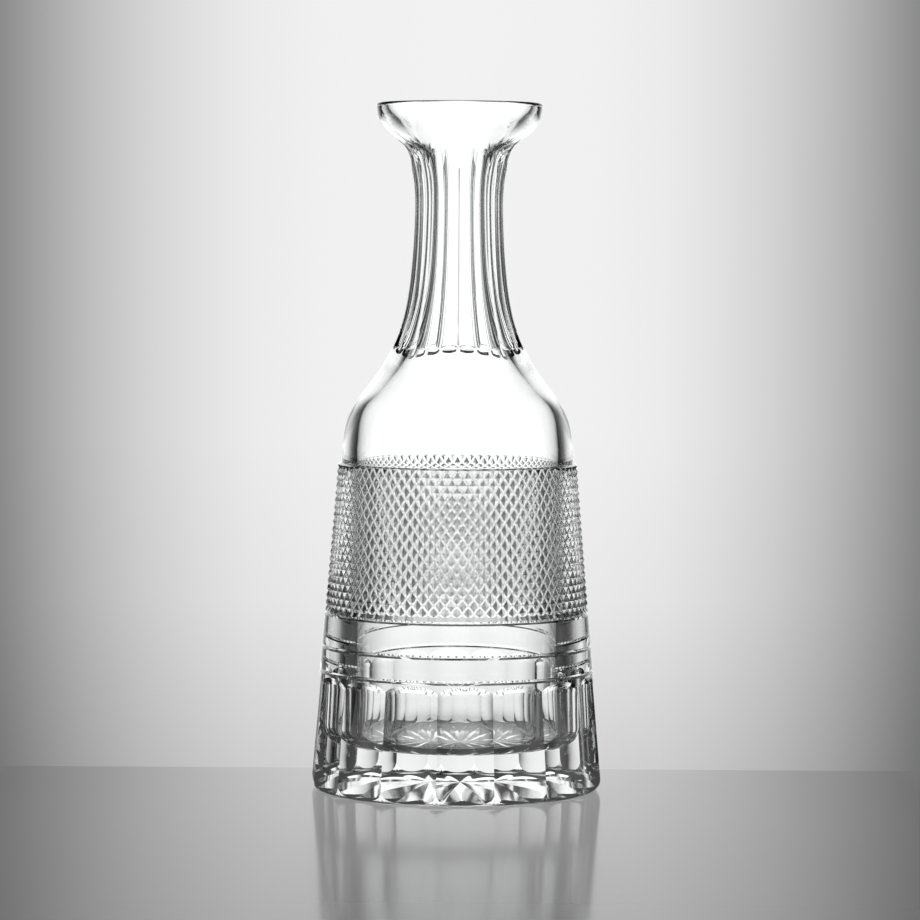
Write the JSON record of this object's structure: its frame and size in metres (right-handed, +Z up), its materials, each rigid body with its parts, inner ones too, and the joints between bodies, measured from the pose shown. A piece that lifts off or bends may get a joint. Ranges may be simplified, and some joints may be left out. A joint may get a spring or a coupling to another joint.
{
  "type": "cut crystal decanter",
  "caption": "Conical cut-glass decanter with a fluted neck, wide flared mouth, ring-cut body, fluted heavy base and star-cut foot, without a stopper.",
  "frame": {"origin": "middle of the foot, on the surface that the decanter stands on", "axes": "+Z up along the decanter's axis towards its mouth; -Y is the side seen from the front"},
  "size_m": [0.1182, 0.1182, 0.28],
  "materials": {
    "crystal": "clear colourless lead crystal, polished inside and out, cuts polished"
  },
  "bodies": {
    "root": {"decanter": "crystal"}
  },
  "joints": []
}
